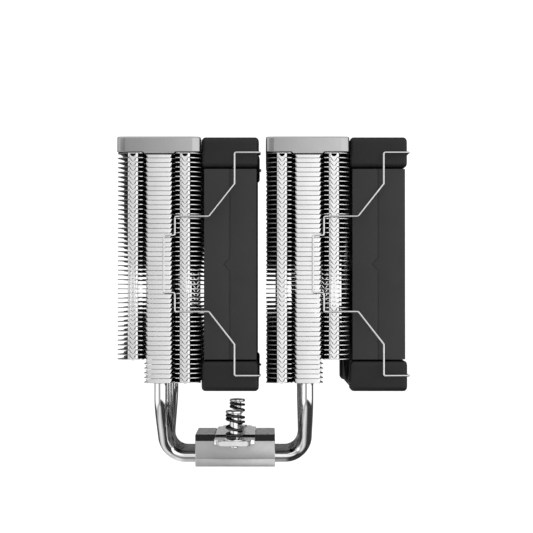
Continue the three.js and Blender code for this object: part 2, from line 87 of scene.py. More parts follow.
class Tree:
    """A node tree, with short ways to add and link nodes."""

    def __init__(self, tree):
        self.tree = tree

    def feed(self, socket, value):
        """Links a socket to another node's output, or sets it to a plain value."""
        if isinstance(value, bpy.types.NodeSocket):
            self.tree.links.new(value, socket)
        else:
            socket.default_value = value

    def add(self, kind, inputs=(), **settings):
        """Adds a node, feeds its inputs and returns its outputs."""
        node = self.tree.nodes.new(kind)
        for key, value in settings.items():
            setattr(node, key, value)
        for key, value in dict(inputs).items():
            self.feed(node.inputs[key], value)
        return node.outputs

    def maths(self, operation, *inputs):
        return self.add("ShaderNodeMath", enumerate(inputs), operation=operation)[0]

    def mix(self, share, a, b, blend_type="MIX"):
        """Two colours mixed, where share is how much of b shows."""
        inputs = {0: share, MIX_A: a, MIX_B: b}
        return self.add("ShaderNodeMix", inputs, data_type="RGBA", blend_type=blend_type)[MIX_RESULT]

    def ramp(self, source, stops):
        """A grey ramp over stops of (place, brightness), fed by source running over the places' range."""
        first, last = stops[0][0], stops[-1][0]
        spread = self.add("ShaderNodeMapRange", {"Value": source, "From Min": first, "From Max": last})
        made = self.add("ShaderNodeValToRGB", {"Fac": spread["Result"]})["Color"]
        elements = made.node.color_ramp.elements
        while len(elements) < len(stops):
            elements.new(0.5)
        for element, (place, value) in zip(elements, stops):
            element.position = (place - first) / (last - first)
            element.color = (*grey(value), 1)
        return made


class MaterialTree(Tree):
    """The node tree of a new material."""

    def __init__(self, name):
        self.material = bpy.data.materials.new(name)
        self.material.use_nodes = True
        super().__init__(self.material.node_tree)
        self.shader = self.tree.nodes["Principled BSDF"]

    def into(self, socket, value):
        """Feeds one of the shader's sockets."""
        self.feed(self.shader.inputs[socket], value)

    def place(self, stretch):
        """Object coordinates in millimetres, squeezed along some axes."""
        coordinates = self.add("ShaderNodeTexCoord")["Object"]
        scale = [1000 * s for s in stretch]
        return self.add("ShaderNodeMapping", {"Scale": scale, "Vector": coordinates})["Vector"]

    def noise(self, scale, detail, stretch=(1, 1, 1)):
        inputs = {"Scale": scale, "Detail": detail, "Roughness": NOISE_ROUGHNESS}
        return self.add("ShaderNodeTexNoise", {**inputs, "Vector": self.place(stretch)})["Fac"]

    def between(self, noise, out_low, out_high):
        """Noise spread between two values."""
        inputs = {"From Min": NOISE_LOW, "From Max": NOISE_HIGH, "To Min": out_low, "To Max": out_high}
        return self.add("ShaderNodeMapRange", {**inputs, "Value": noise})["Result"]

    def bump(self, height, distance):
        return self.add("ShaderNodeBump", {"Distance": distance * MM, "Height": height})["Normal"]


def surface(
    name, dark, light, rough, metallic, patch, grain=None, grain_size=2.0, stretch=(1, 1, 1), **sockets
):
    """A material whose colour runs from dark to light in soft patches, with roughness between the
    two values of rough and a fine grain of grain mm. patch and grain_size are per millimetre."""
    n = MaterialTree(name)
    n.into("Metallic", metallic)
    for socket, value in sockets.items():
        n.into(socket.replace("_", " "), value)
    patches = n.noise(patch, detail=4)
    n.into("Base Color", n.mix(n.between(patches, 0, 1), (*dark, 1), (*light, 1)))
    n.into("Roughness", n.between(n.noise(patch * 4, detail=5, stretch=stretch), *rough))
    if grain:
        n.into("Normal", n.bump(n.noise(grain_size, detail=2, stretch=stretch), grain))
    return n.material


def grey(value):
    return (value, value, value)


MATERIALS = {
    # The fins' top and bottom faces: a dark copy of the fin aluminium, painted shade between the fins.
    "fin_face_painted_shade": surface(
        "fin_face_painted_shade", grey(0.19), grey(0.25), (0.30, 0.42), 1.0, patch=0.05, grain=0.012,
        grain_size=1.5, stretch=(1, 0.08, 1),
    ),
    "fin_edge": surface("fin_edge", grey(0.86), grey(0.93), (0.30, 0.42), 1.0, patch=0.1),
    # A darker copy of the fin edge for the -X end of each tower: painted shade.
    "fin_rim_painted_shade": surface("fin_rim_painted_shade", grey(0.20), grey(0.30), (0.35, 0.5), 1.0, patch=0.3),
    "tab": surface(
        "fin_tab", grey(0.82), grey(0.90), (0.26, 0.36), 1.0, patch=0.08, grain=0.008, grain_size=1.2,
        stretch=(0.2, 1, 1),
    ),
    # The collars round the pipes: a darker copy of the fin aluminium, painted shade inside the stack.
    "collar": surface("fin_collar", grey(0.3), grey(0.4), (0.3, 0.45), 1.0, patch=0.2),
    "pipe": surface(
        "polished_nickel_pipe", grey(0.84), grey(0.90), (0.07, 0.15), 1.0, patch=0.06, grain=0.02,
        grain_size=0.12,
    ),
    "base": surface(
        "blasted_nickel", grey(0.59), grey(0.63), (0.42, 0.52), 1.0, patch=0.15, grain=0.012,
        grain_size=5,
    ),
    "cold_plate": surface(
        "satin_nickel_plate", grey(0.60), grey(0.65), (0.40, 0.50), 1.0, patch=0.15, grain=0.008,
        grain_size=4, stretch=(1, 0.1, 1),
    ),
    "black_cap": surface(
        "black_coated_plate", grey(0.007), grey(0.012), (0.22, 0.32), 0.0, patch=0.1, grain=0.006,
        grain_size=5, Specular_IOR_Level=0.25,
    ),
    "bar_face": surface(
        "blasted_bar", grey(0.68), grey(0.74), (0.24, 0.32), 1.0, patch=0.2, grain=0.02, grain_size=3.5,
    ),
    "bar_edge": surface("bright_nickel_edge", grey(0.76), grey(0.84), (0.10, 0.2), 1.0, patch=0.3),
    "screw": surface("bright_nickel_screw", grey(0.74), grey(0.82), (0.10, 0.18), 1.0, patch=0.5),
    # The spring steel is darkened far below bare steel so the coils look as dark as the surroundings they
    # reflect: painted shade and reflection.
    "spring": surface("spring_steel", grey(0.05), grey(0.09), (0.12, 0.2), 1.0, patch=0.4),
    "wire": surface(
        "clip_wire", grey(0.66), grey(0.74), (0.10, 0.2), 1.0, patch=0.3, grain=0.006, grain_size=1.5,
    ),
    "cover": surface(
        "satin_cover", grey(0.42), grey(0.46), (0.20, 0.26), 1.0, patch=0.03, grain=0.006, grain_size=4,
        stretch=(1, 0.04, 1),
    ),
    "frame": surface(
        "frame_plastic", grey(0.020), grey(0.025), (0.46, 0.54), 0.0, patch=0.04, grain=0.03,
        grain_size=3,
    ),
    # A darker copy of the frame plastic for the wall's half towards +X: painted shade.
    "frame_painted_shade": surface(
        "frame_plastic_painted_shade", grey(0.013), grey(0.017), (0.46, 0.54), 0.0, patch=0.04, grain=0.03,
        grain_size=3,
    ),
    "impeller": surface(
        "impeller_plastic", grey(0.022), grey(0.028), (0.32, 0.42), 0.0, patch=0.05, grain=0.01,
        grain_size=3,
    ),
    "pad": surface(
        "pad_rubber", grey(0.007), grey(0.010), (0.46, 0.56), 0.0, patch=0.08, grain=0.035,
        grain_size=2.4, Specular_IOR_Level=0.38,
    ),
    "label": surface("hub_label", grey(0.02), grey(0.03), (0.25, 0.3), 0.0, patch=0.1),
    "magnet": surface("magnet", grey(0.05), grey(0.08), (0.6, 0.7), 0.0, patch=0.5, grain=0.02),
    "steel": surface("ground_steel", grey(0.58), grey(0.64), (0.2, 0.3), 1.0, patch=0.4),
    "brass": surface(
        "sleeve_brass", (0.62, 0.46, 0.20), (0.68, 0.52, 0.25), (0.25, 0.35), 1.0, patch=0.4,
    ),
    "board": surface(
        "circuit_board", (0.01, 0.06, 0.02), (0.015, 0.09, 0.03), (0.3, 0.4), 0.0, patch=0.6,
    ),
    "copper": surface(
        "enamelled_copper", (0.42, 0.13, 0.05), (0.55, 0.19, 0.07), (0.3, 0.4), 1.0, patch=1.0,
    ),
}

# ---------------------------------------------------------------- shapes


class Shape:
    """Collects faces, in millimetres, and becomes one object that rides on a CAD body."""

    def __init__(self):
        self.points, self.faces, self.kinds = [], [], []

    def add(self, points, faces, kind=0, flip=False):
        start = len(self.points)
        self.points += [tuple(p) for p in points]
        for face in faces:
            indexes = [start + i for i in face]
            self.faces.append(indexes[::-1] if flip else indexes)
            self.kinds.append(kind)
        return self

    def loft(self, rings, kind=0, around=True, capped=True, closed=False, flip=False):
        """A skin through rings of points. around joins each ring's ends, and closed the last ring to
        the first. capped fills the first and the last ring."""
        n, m = len(rings[0]), len(rings)
        faces = []
        for r in range(m if closed else m - 1):
            a, b = r * n, ((r + 1) % m) * n
            for i in range(n if around else n - 1):
                j = (i + 1) % n
                faces.append((a + i, a + j, b + j, b + i))
        if capped and not closed:
            faces += [tuple(reversed(range(n))), tuple(range((m - 1) * n, m * n))]
        return self.add([p for ring in rings for p in ring], faces, kind, flip)

    def prism(self, outline, spans):
        """An outline in the XY plane through heights, each with how far the outline is drawn in."""
        return self.loft([[(x, y, z) for x, y in inset(outline, d)] for z, d in spans])

    def tube(self, points, radius, sides):
        """A round bar along a line of points."""
        points = [Vector(p) for p in points]
        rings, side = [], None
        for i, point in enumerate(points):
            along = (points[min(i + 1, len(points) - 1)] - points[max(i - 1, 0)]).normalized()
            if side is None:
                side = along.orthogonal()
            side = (side - along * side.dot(along)).normalized()
            up = along.cross(side)
            turns = (2 * math.pi * k / sides for k in range(sides))
            rings.append([point + (side * math.cos(t) + up * math.sin(t)) * radius for t in turns])
        return self.loft(rings)

    def lathe(self, profile, centre, sides, axis="z", closed=False):
        """A profile of (radius, height) turned about an axis through centre, along Z or X. closed joins
        the profile's ends."""
        rings = []
        for k in range(sides):
            t = 2 * math.pi * k / sides
            c, s = math.cos(t), math.sin(t)
            if axis == "z":
                rings.append([(centre[0] + r * c, centre[1] + r * s, centre[2] + h) for r, h in profile])
            else:
                rings.append([(centre[0] + h, centre[1] + r * c, centre[2] + r * s) for r, h in profile])
        return self.loft(rings, around=closed, capped=False, closed=True, flip=True)

    def build(self, name, body, materials, replaces=(), slot=None, sharp=32):
        """Makes the object. materials is one, or the list that the faces' kinds count through, and edges
        sharper than an angle of sharp degrees stay crisp."""
        mesh = bpy.data.meshes.new(name)
        mesh.from_pydata([[c * MM for c in p] for p in self.points], [], self.faces)
        for kind in materials if isinstance(materials, list) else [materials]:
            mesh.materials.append(MATERIALS[kind])
        mesh.polygons.foreach_set("material_index", self.kinds)
        mesh.validate()
        mesh.shade_smooth()
        mesh.set_sharp_from_angle(angle=math.radians(sharp))
        made = bpy.data.objects.new(name, mesh)
        bpy.context.collection.objects.link(made)
        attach(made, body)
        if replaces:
            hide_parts(*replaces)
        return made


def inset(outline, distance):
    """A closed counter-clockwise outline, with each side drawn in by a distance."""
    if not distance:
        return list(outline)
    drawn = []
    for i, (x, y) in enumerate(outline):
        before, after = Vector(outline[i - 1]), Vector(outline[(i + 1) % len(outline)])
        here = Vector((x, y))
        u, v = (here - before).normalized(), (after - here).normalized()
        normal = Vector((-u.y - v.y, u.x + v.x))
        size = normal.length_squared
        drawn.append(tuple(here + normal * (2 * distance / size)))
    return drawn


def rounded_rectangle(width, depth, radius, centre=(0, 0), steps=6):
    """Counter-clockwise corners of a rectangle with round corners."""
    points = []
    for k, (sx, sy) in enumerate([(1, -1), (1, 1), (-1, 1), (-1, -1)]):
        for i in range(steps + 1):
            t = math.pi / 2 * (k - 1 + i / steps)
            points.append((
                centre[0] + sx * (width / 2 - radius) + radius * math.cos(t),
                centre[1] + sy * (depth / 2 - radius) + radius * math.sin(t),
            ))
    return points


def rounded(points, radius, steps=5):
    """A line of points with each corner bent to a radius, as far as its two stretches leave room."""
    room = 0.48
    points = [Vector(p) for p in points]
    line = [points[0]]
    for before, here, after in zip(points, points[1:], points[2:]):
        into, out = (before - here), (after - here)
        turn = math.pi - into.angle(out)
        reach = min(radius * math.tan(turn / 2), into.length * room, out.length * room)
        a, b = here + into.normalized() * reach, here + out.normalized() * reach
        for i in range(steps + 1):
            t = i / steps
            line.append(a.lerp(here, t).lerp(here.lerp(b, t), t))
    return line + [points[-1]]


# ---------------------------------------------------------------- towers

FIN_PITCH = 2.21
FIN_THICKNESS = 0.42
FIN_BEVEL = 0.06
FIN_COUNT = 50
SHORT_FINS = 5
FRONT = high("fin_stack_left").y

FIN_MATERIALS = ["fin_edge", "tab", "fin_face_painted_shade", "fin_rim_painted_shade"]
TAB, FACE, RIM = 1, 2, 3  # places in that list
RIM_FROM = 14.7  # how far left of a tower's middle a fin's edge turns from its bright aluminium into a darker copy, painted shade

# A fin's front edge, as distance from the tower's middle and distance in from the front.
FIN_EDGE = [
    (0, 0.6), (5.4, 0.6), (5.9, 1.4), (6.2, 3.0), (6.3, 8.5), (7.2, 9.0), (7.35, 2.2), (7.7, 1.3),
    (8.3, 0.85), (9.2, 0.7), (9.8, 0.9), (10.1, 1.3), (14.4, 1.3), (14.8, 0.9), (16.3, 1.5), (17.8, 2.8),
    (19.2, 4.4), (19.75, 5.4),
]
SHORT_EDGE = [(0, 0.6), (5.1, 0.6), (5.9, 1.3), (6.7, 2.2)]

# Its side edge, as distance in from the tower's side and distance in from the front: at the side where no
# fan stands, at a side with a fan, and where a short fin ends.
OPEN_SIDE = [
    (0, 6.2), (0.3, 8.5), (0.9, 11.0), (1.5, 16.0), (1.9, 22.0), (1.6, 26.0), (0.8, 31.0), (0.4, 37.0),
    (0.4, 53.0),
]
FAN_SIDE = [(0.1, 6.5), (0.3, 9.0), (0.5, 15.0), (0.5, 53.0)]
SHORT_SIDE = [(0, 6.0), (0.6, 15.0), (1.2, 30.0)]

# How far a fin reaches from the tower's middle, to the left and right, and to the end of a short fin.
TOWER_HALF = {-1: 19.9, 1: 19.6}
SHORT_HALF = 7.3

# The rows of the folded tab in a fin's middle, as height, half width and distance back.
FOLD_ROWS = [
    (-0.22, 5.5, 0.2), (-0.17, 5.52, 0.05), (-0.1, 5.55, 0), (0.0, 5.6, 0), (0.9, 5.98, 0),
    (1.78, 6.33, 0), (1.83, 6.35, 0.03),
]
FOLD_SIDE = [(0, 0.6), (0.12, 0.26), (0.3, 0.07), (0.55, 0.01), (0.75, 0)]  # in from a side, and back
FOLD_THICKNESS = 0.35
LAST_FOLD_LOWER = 0.5

# A chevron tab, measured from its own middle and from its fin.
CHEVRON_AT = 12.25  # its middle's distance from the tower's
CHEVRON_HALF = 2.45
CHEVRON_BACK = 0.12
CHEVRON_THICKNESS = 0.3
CHEVRON_BOTTOM = 0.3
CHEVRON_GAP = 0.28  # under the fin above
SIDE_CURVE = [(0, 0.62), (0.12, 0.3), (0.35, 0.1), (0.65, 0.01), (0.9, 0)]  # in from a side, and back
NOTCH_COLUMNS = [1.3, 1.27, 0.62, 0.6]
NOTCH_HALF, SLOT_HALF = 1.29, 0.61
NOTCH_WIDTH, NOTCH_LOW, NOTCH_HIGH = 0.66, 0.62, 1.36
SLOT_TOP = 0.32

# The point under a chevron tab.
POINT_HALF, POINT_TIP_HALF = 1.45, 0.15
POINT_RISE, POINT_SIDE = 0.55, 0.25
POINT_ROWS = [(0, 0), (0.04, 0.05), (0.2, 0.05)]  # back, and wider by
LONG_POINT, LAST_POINT = 1.95, 0.65

COLLAR_INNER, COLLAR_OUTER = 3.05, 3.4
COLLAR_LOW, COLLAR_HIGH = -0.6, 108.6  # from the lowest fin


def fin_outline(side, x0, is_short):
    """A fin seen from above: its edge from the front to the back along +X, and back along -X."""
    corners = []
    for way in (1, -1):
        edge, flank, half = FIN_EDGE, FAN_SIDE, TOWER_HALF[way]
        if is_short and way == side:
            edge, flank, half = SHORT_EDGE, SHORT_SIDE, SHORT_HALF
        elif way == side == -1:
            flank = OPEN_SIDE
        quarter = [(x, FRONT - d) for x, d in edge] + [(half - x, FRONT - d) for x, d in flank]
        half_edge = [(x, -y) for x, y in quarter] + [(x, y) for x, y in reversed(quarter)]
        corners.append([(x0 + way * x, y) for x, y in half_edge])
    return corners[0] + corners[1][-2:0:-1]


def fin_sheet(shape, side, x0, z, is_short):
    top = z + FIN_THICKNESS
    spans = [(z, FIN_BEVEL), (z + FIN_BEVEL, 0), (top - FIN_BEVEL, 0), (top, FIN_BEVEL)]
    outline = fin_outline(side, x0, is_short)
    first = len(shape.kinds)
    shape.prism(outline, spans)
    # The fin's top and bottom faces take the dark copy of its aluminium: painted shade.
    shape.kinds[-2:] = [FACE, FACE]
    # On the tower's -X side, beyond RIM_FROM, the edge takes the darker copy of the aluminium: painted shade.
    for i, (x, _) in enumerate(outline):
        if max(x, outline[(i + 1) % len(outline)][0]) < x0 - RIM_FROM:
            for r in range(len(spans) - 1):
                shape.kinds[first + r * len(outline) + i] = RIM


def closed_fold(shape, nearfar, x0, z, lower):
    """The tab in the middle of a fin's edge, bent up to meet the fin above or to end a little lower."""
    rings = []
    for dz, half, back in FOLD_ROWS:
        dz -= lower if dz > 1 else 0
        front = [(-half + x, y) for x, y in FOLD_SIDE] + [(0, 0)]
        front += [(-x, y) for x, y in reversed(front[:-1])]
        ring = [(x, y + back) for x, y in front]
        ring += [(x, y + back + FOLD_THICKNESS) for x, y in reversed(front)]
        rings.append([(x0 + x, nearfar * (FRONT - y), z + dz) for x, y in ring])
    shape.loft(rings, kind=TAB, flip=nearfar > 0)


def chevron_top(x):
    """How high a chevron tab stands over its fin, with a sloping notch in its top and a slot in that."""
    if abs(x) < SLOT_HALF:
        return SLOT_TOP
    if abs(x) < NOTCH_HALF:
        return mix(NOTCH_LOW, NOTCH_HIGH, (abs(x) - SLOT_HALF) / NOTCH_WIDTH)
    return FIN_PITCH - CHEVRON_GAP


def chevron(shape, nearfar, x0, z, point):
    """A tab bent up from a fin, with its sides curved back and a notch at its top, and below it a point
    that covers the notch of the tab under it."""
    columns = [(-CHEVRON_HALF + x, y) for x, y in SIDE_CURVE]
    columns += [(-x, 0) for x in NOTCH_COLUMNS] + [(0, 0)]
    columns += [(-x, y) for x, y in reversed(columns[:-1])]
    rings = []
    for x, back in columns:
        near = nearfar * (FRONT - CHEVRON_BACK - back)
        far = nearfar * (FRONT - CHEVRON_BACK - back - CHEVRON_THICKNESS)
        z0, z1 = z + CHEVRON_BOTTOM, z + chevron_top(x)
        rings.append([(x0 + x, near, z0), (x0 + x, near, z1), (x0 + x, far, z1), (x0 + x, far, z0)])
    shape.loft(rings, kind=TAB, flip=nearfar < 0)

    rings = []
    for back, wider in POINT_ROWS:
        half, low_side = POINT_HALF + wider, POINT_RISE - POINT_SIDE
        left = [(-half, POINT_RISE), (-half, low_side), (-POINT_TIP_HALF, -point - wider)]
        outline = left + [(-x, h) for x, h in reversed(left)]
        rings.append([(x0 + x, nearfar * (FRONT - back), z + h) for x, h in outline])
    shape.loft(rings, kind=TAB, flip=nearfar > 0)


def tower(name, side):
    stack = f"fin_stack_{name}"
    x0 = middle(f"top_cover_{name}").x
    z0 = low(stack).z
    fins = Shape()
    for i in range(FIN_COUNT):
        z = z0 + i * FIN_PITCH
        fin_sheet(fins, side, x0, z, i < SHORT_FINS)
        if i < FIN_COUNT - 1:
            tabs(fins, side, x0, z + FIN_THICKNESS / 2, i)
    fins.build(f"fins_{name}", "heatsink", FIN_MATERIALS, [stack], "fin_aluminium", sharp=30)

    collars = Shape()
    a, b = z0 + COLLAR_LOW, z0 + COLLAR_HIGH
    section = [(COLLAR_INNER, a), (COLLAR_OUTER, a), (COLLAR_OUTER, b), (COLLAR_INNER, b)]
    for number in PIPES:
        collars.lathe(section, (x0, pipe_y(number, PIPE_TOWER_PITCH), 0), sides=20, closed=True)
    collars.build(f"fin_collars_{name}", "heatsink", "collar", slot="fin_aluminium")
    cover(name, x0)


def tabs(shape, side, x0, z, i):
    """The folded tab and two chevron tabs at the near and far edges of fin number i. A short fin has one
    chevron tab at each."""
    for nearfar in (-1, 1):
        closed_fold(shape, nearfar, x0, z, LAST_FOLD_LOWER if i == FIN_COUNT - 2 else 0)
        for column in (-1, 1):
            if i >= SHORT_FINS or column != side:
                is_lowest = i == (SHORT_FINS if column == side else 0)
                point = LAST_POINT if is_lowest else LONG_POINT
                chevron(shape, nearfar, x0 + column * CHEVRON_AT, z, point)


# A cover's corner, as distance in from the side and in from the front.
COVER_CORNER = [
    (4.1, 0), (3.6, 0.03), (3.0, 0.12), (2.2, 0.28), (1.5, 0.44), (1.0, 0.60), (0.7, 0.80), (0.45, 1.08),
    (0.25, 1.45), (0.1, 1.97), (0.02, 2.6), (0, 3.3),
]
# The rows of a cover, as height and how far they are drawn in: up from the lower edge, starting in its
# recessed underside, and down from the top.
COVER_LOWER_ROWS = [(0.8, 1.6), (0, 1.5), (0, 0.25), (0.25, 0), (1.2, 0)]
COVER_UPPER_ROWS = [(0.75, 0.02), (0.6, 0.03), (0.3, 0.11), (0.1, 0.24), (0, 0.5)]
# The rows of its skirt, as height over the lower edge, half width, and where it starts and ends in depth.
SKIRT_ROWS = [
    (0.3, 7.6, 0.02, 0.55), (0, 7.5, 0.02, 0.55), (-0.62, 6.9, 0.02, 0.55), (-0.72, 6.7, 0.12, 0.45),
]


def cover(name, x0):
    node = f"top_cover_{name}"
    z0, z1 = low(node).z, high(node).z
    half_x, half_y = (TOWER_HALF[-1] + TOWER_HALF[1]) / 2, high(node).y
    middle_x = x0 + (TOWER_HALF[1] - TOWER_HALF[-1]) / 2
    quarter = [(half_x - dx, half_y - dy) for dx, dy in COVER_CORNER]
    right = [(x, -y) for x, y in quarter] + [(x, y) for x, y in reversed(quarter)]
    outline = right + [(-x, -y) for x, y in right]
    rings = []
    for z, d in [(z0 + h, d) for h, d in COVER_LOWER_ROWS] + [(z1 - h, d) for h, d in COVER_UPPER_ROWS]:
        rings.append([(middle_x + x * (1 - d / half_x), y * (1 - d / half_y), z) for x, y in outline])
    shape = Shape().loft(rings)
    for nearfar in (-1, 1):
        skirt = []
        for height, half, start, end in SKIRT_ROWS:
            corners = [(-half, start), (half, start), (half, end), (-half, end)]
            skirt.append([(x0 + x, nearfar * (half_y - d), z0 + height) for x, d in corners])
        shape.loft(skirt, flip=nearfar < 0)
    shape.build(f"cover_{name}", "heatsink", "cover", [node], "cover_aluminium", sharp=25)


# ---------------------------------------------------------------- heat pipes

PIPES = range(1, 7)
PIPE_RADIUS = 3
PIPE_BASE_PITCH = 6.7
PIPE_TOWER_PITCH = 20.8
PIPE_LOW_Z = 5
PIPE_BEND = 10
PIPE_END_GAP = 0.2  # how far a pipe ends below the top of its CAD node
SPREAD_FROM, SPREAD_TO = 6, 36


def pipe_y(number, pitch):
    return (number - (PIPES[0] + PIPES[-1]) / 2) * pitch


def heat_pipe(number):
    node = f"heat_pipe_{number}"
    tower_x = high(node).x - PIPE_RADIUS
    base_y, tower_y = pipe_y(number, PIPE_BASE_PITCH), pipe_y(number, PIPE_TOWER_PITCH)
    bend_z = PIPE_LOW_Z + PIPE_BEND
    steps = 14

    def at(x, z):
        return (x, mix(base_y, tower_y, smoothstep(z, SPREAD_FROM, SPREAD_TO)), z)

    leg = [at(0, PIPE_LOW_Z)]
    for k in range(steps + 1):
        turn = math.pi / 2 * k / steps
        x = tower_x - PIPE_BEND + PIPE_BEND * math.sin(turn)
        leg.append(at(x, bend_z - PIPE_BEND * math.cos(turn)))
    leg += [at(tower_x, mix(bend_z, SPREAD_TO, k / steps)) for k in range(1, steps + 1)]
    leg.append(at(tower_x, high(node).z - PIPE_END_GAP))
    line = [(-x, y, z) for x, y, z in reversed(leg[1:])] + leg
    shape = Shape().tube(line, PIPE_RADIUS, sides=28)
    shape.build(f"pipe_{number}", "heatsink", "pipe", [node], "pipe_nickel")


# ---------------------------------------------------------------- fans

FAN_HALF = 59.6
FRAME_FACE = 12.5
FRAME_WALL = 0.75
PAD_INNER = 45.8
PAD_CROWN = 0.12  # how far a pad's soft faces stand out
PAD_SHIFT = 0.08  # towards -X
HOLE_AT = 52.5
# The groove round the frame, which dips towards -X in the middle of its near and far sides.
GROOVE_X = -0.3
GROOVE_DIP, GROOVE_DIP_HALF = 2.9, 3.2
GROOVE_STEP = 0.78  # degrees between the points of the dip

FRAME_MATERIALS = ["frame", "frame_painted_shade"]
PAINTED_SHADE = 1  # its place in that list
PAINTED_SHADE_FACES = (6, 7, 8)  # which of the wall's faces, from the left, get a darker copy of the plastic: painted shade on the half towards +X
STRUT_WIDTHS = (2.9, 2.9, 2.9, 3.6)


def ring_outline(angles, corners):
    """Where rays from the middle at the given angles meet a closed outline."""
    found = []
    for t in angles:
        d = Vector((math.cos(t), math.sin(t)))
        best = None
        for i, a in enumerate(corners):
            a, b = Vector(corners[i - 1]), Vector(a)
            e = b - a
            cross = d.x * e.y - d.y * e.x
            if abs(cross) < 1e-9:
                continue
            reach = (a.x * e.y - a.y * e.x) / cross
            share = (a.x * d.y - a.y * d.x) / cross
            if reach > 0 and -1e-6 <= share <= 1 + 1e-6:
                best = reach if best is None else max(best, reach)
        found.append(d * best)
    return found


def frame_wall(shape, x0, z0):
    """The square wall round the duct, notched at its corners for the pads."""
    n, h = PAD_INNER - FRAME_WALL, FAN_HALF
    corners = [
        (h, -n), (h, n), (n, n), (n, h), (-n, h), (-n, n),
        (-h, n), (-h, -n), (-n, -n), (-n, -h), (n, -h), (n, -n),
    ]
    angles = {2 * math.pi * k / 120 for k in range(120)}
    angles |= {math.atan2(y, x) % (2 * math.pi) for x, y in corners}
    for side in (0, math.pi):
        angles |= {(side + math.radians(GROOVE_STEP * k)) % (2 * math.pi) for k in range(-5, 6)}
    angles = sorted(angles)
    rings = []
    for t, outer in zip(angles, ring_outline(angles, corners)):
        along_ray = Vector((math.cos(t), math.sin(t)))
        groove, outward = GROOVE_X, outer.normalized()
        if abs(outer.x) > h - 0.01:
            groove -= GROOVE_DIP * max(0, 1 - abs(outer.y) / GROOVE_DIP_HALF)
            outward = Vector((math.copysign(1, outer.x), 0))
        elif abs(outer.y) > h - 0.01:
            outward = Vector((0, math.copysign(1, outer.y)))
        wall = [
            (-FRAME_FACE, 0.5), (-FRAME_FACE + 0.15, 0.2), (-FRAME_FACE + 0.5, 0.05), (groove - 0.3, 0),
            (groove - 0.2, 0.35), (groove + 0.2, 0.35), (groove + 0.3, 0.14), (FRAME_FACE - 0.6, 0.14),
            (FRAME_FACE - 0.15, 0.3), (FRAME_FACE, 0.6),
        ]
        bore = [
            (FRAME_FACE, 59.0), (FRAME_FACE - 0.5, 58.5), (FRAME_FACE - 1.8, 58.05), (8.5, 57.9),
            (-8.5, 57.9), (-FRAME_FACE + 0.6, 58.3), (-FRAME_FACE, 58.8),
        ]
        ring = [(x, outer - outward * d) for x, d in wall]
        ring += [(x, along_ray * min(r, outer.length - FRAME_WALL)) for x, r in bore]
        rings.append([(x0 + x, p.x, z0 + p.y) for x, p in ring])
    shape.loft(rings, closed=True, flip=True)
    # The wall's half towards +X takes the darker copy of the plastic: painted shade.
    for r in range(len(rings)):
        for i in PAINTED_SHADE_FACES:
            shape.kinds[r * len(rings[0]) + i] = PAINTED_SHADE


def strut(shape, x0, z0, turn, width):
    """An arm from the motor's plate to the wall, wider at both ends, with its edge towards the blades
    rounded."""
    c, s = math.cos(turn), math.sin(turn)
    steps = 8
    rings = []
    for k in range(steps + 1):
        r = mix(20, 58.6, k / steps)
        w = width * mix(1.25, 0.9, min(1, k / 3)) / 2 + (0.5 if k == steps else 0)
        section = [
            (-12.3, -w), (-10.2, -w), (-9.7, -w * 0.75), (-9.5, 0), (-9.7, w * 0.75), (-10.2, w),
            (-12.3, w), (-12.5, w * 0.8), (-12.5, -w * 0.8),
        ]
        rings.append([(x0 + x, r * c - v * s, z0 + r * s + v * c) for x, v in section])
    shape.loft(rings, flip=True)


def fan_frame(fan, x0, z0):
    shape = Shape()
    frame_wall(shape, x0, z0)
    for k, width in enumerate(STRUT_WIDTHS):
        strut(shape, x0, z0, math.pi / 2 * (k + 0.5), width)
    motor_plate = [
        (0.01, -12.5), (20.4, -12.5), (20.9, -12.2), (21, -11.8), (21, -11.0), (20.7, -10.7), (5.2, -10.7),
        (5.2, 2.2), (4.9, 2.5), (3.7, 2.5), (3.6, 2.2), (3.6, -10.6), (0.01, -10.6),
    ]
    shape.lathe(motor_plate, (x0, 0, z0), axis="x", sides=48)
    shape.build(f"frame_{fan}", "heatsink", FRAME_MATERIALS, [f"fan_frame_{fan}"], "frame_plastic")


def pad(fan, name):
    """A rubber cushion with rounded edges and a hole through it."""
    node = f"pad_{fan}_{name}"
    centre = middle(node)
    x0, half = centre.x - PAD_SHIFT, (high(node).x - low(node).x) / 2 + PAD_CROWN + PAD_SHIFT
    size = high(node).y - low(node).y + 2 * PAD_CROWN
    sy, sz = math.copysign(1, centre.y), math.copysign(1, centre.z - middle(f"fan_frame_{fan}").z)
    hole = Vector((sy * HOLE_AT, middle(f"fan_frame_{fan}").z + sz * HOLE_AT))
    offset = Vector((centre.y, centre.z)) - hole
    shape = Shape()
    edge, bend, hole_radius, hole_edge = 1.9, 2.0, 2.6, 0.5
    count, steps = 96, 6
    angles = [2 * math.pi * k / count for k in range(count)]

    def outer(draw_in):
        corner = max(bend - draw_in * 0.6, 0.4)
        outline = rounded_rectangle(size - 2 * draw_in, size - 2 * draw_in, corner, tuple(offset))
        return ring_outline(angles, outline)

    turns = [math.pi / 2 * k / steps for k in range(steps + 1)]
    quarter = [(edge * (1 - math.cos(t)), edge * (1 - math.sin(t))) for t in turns]
    stations = [(half - along, back) for back, along in reversed(quarter)]
    stations += [(-half + along, back) for back, along in quarter]
    rows = [[(x0 + x, hole.x + p.x, hole.y + p.y) for p in outer(back)] for x, back in stations]
    wide, flat = hole_radius + hole_edge, half - hole_edge
    for x, r in ((-half, wide), (-half + hole_edge, hole_radius), (flat, hole_radius), (half, wide)):
        rows.append([(x0 + x, hole.x + r * math.cos(t), hole.y + r * math.sin(t)) for t in angles])
    shape.loft(rows, closed=True, flip=True)
    shape.build(f"corner_{fan}_{name}", "heatsink", "pad", [node], "pad_rubber")


BLADES = 9
BLADE_ROOT, BLADE_TIP = 20.2, 56.4


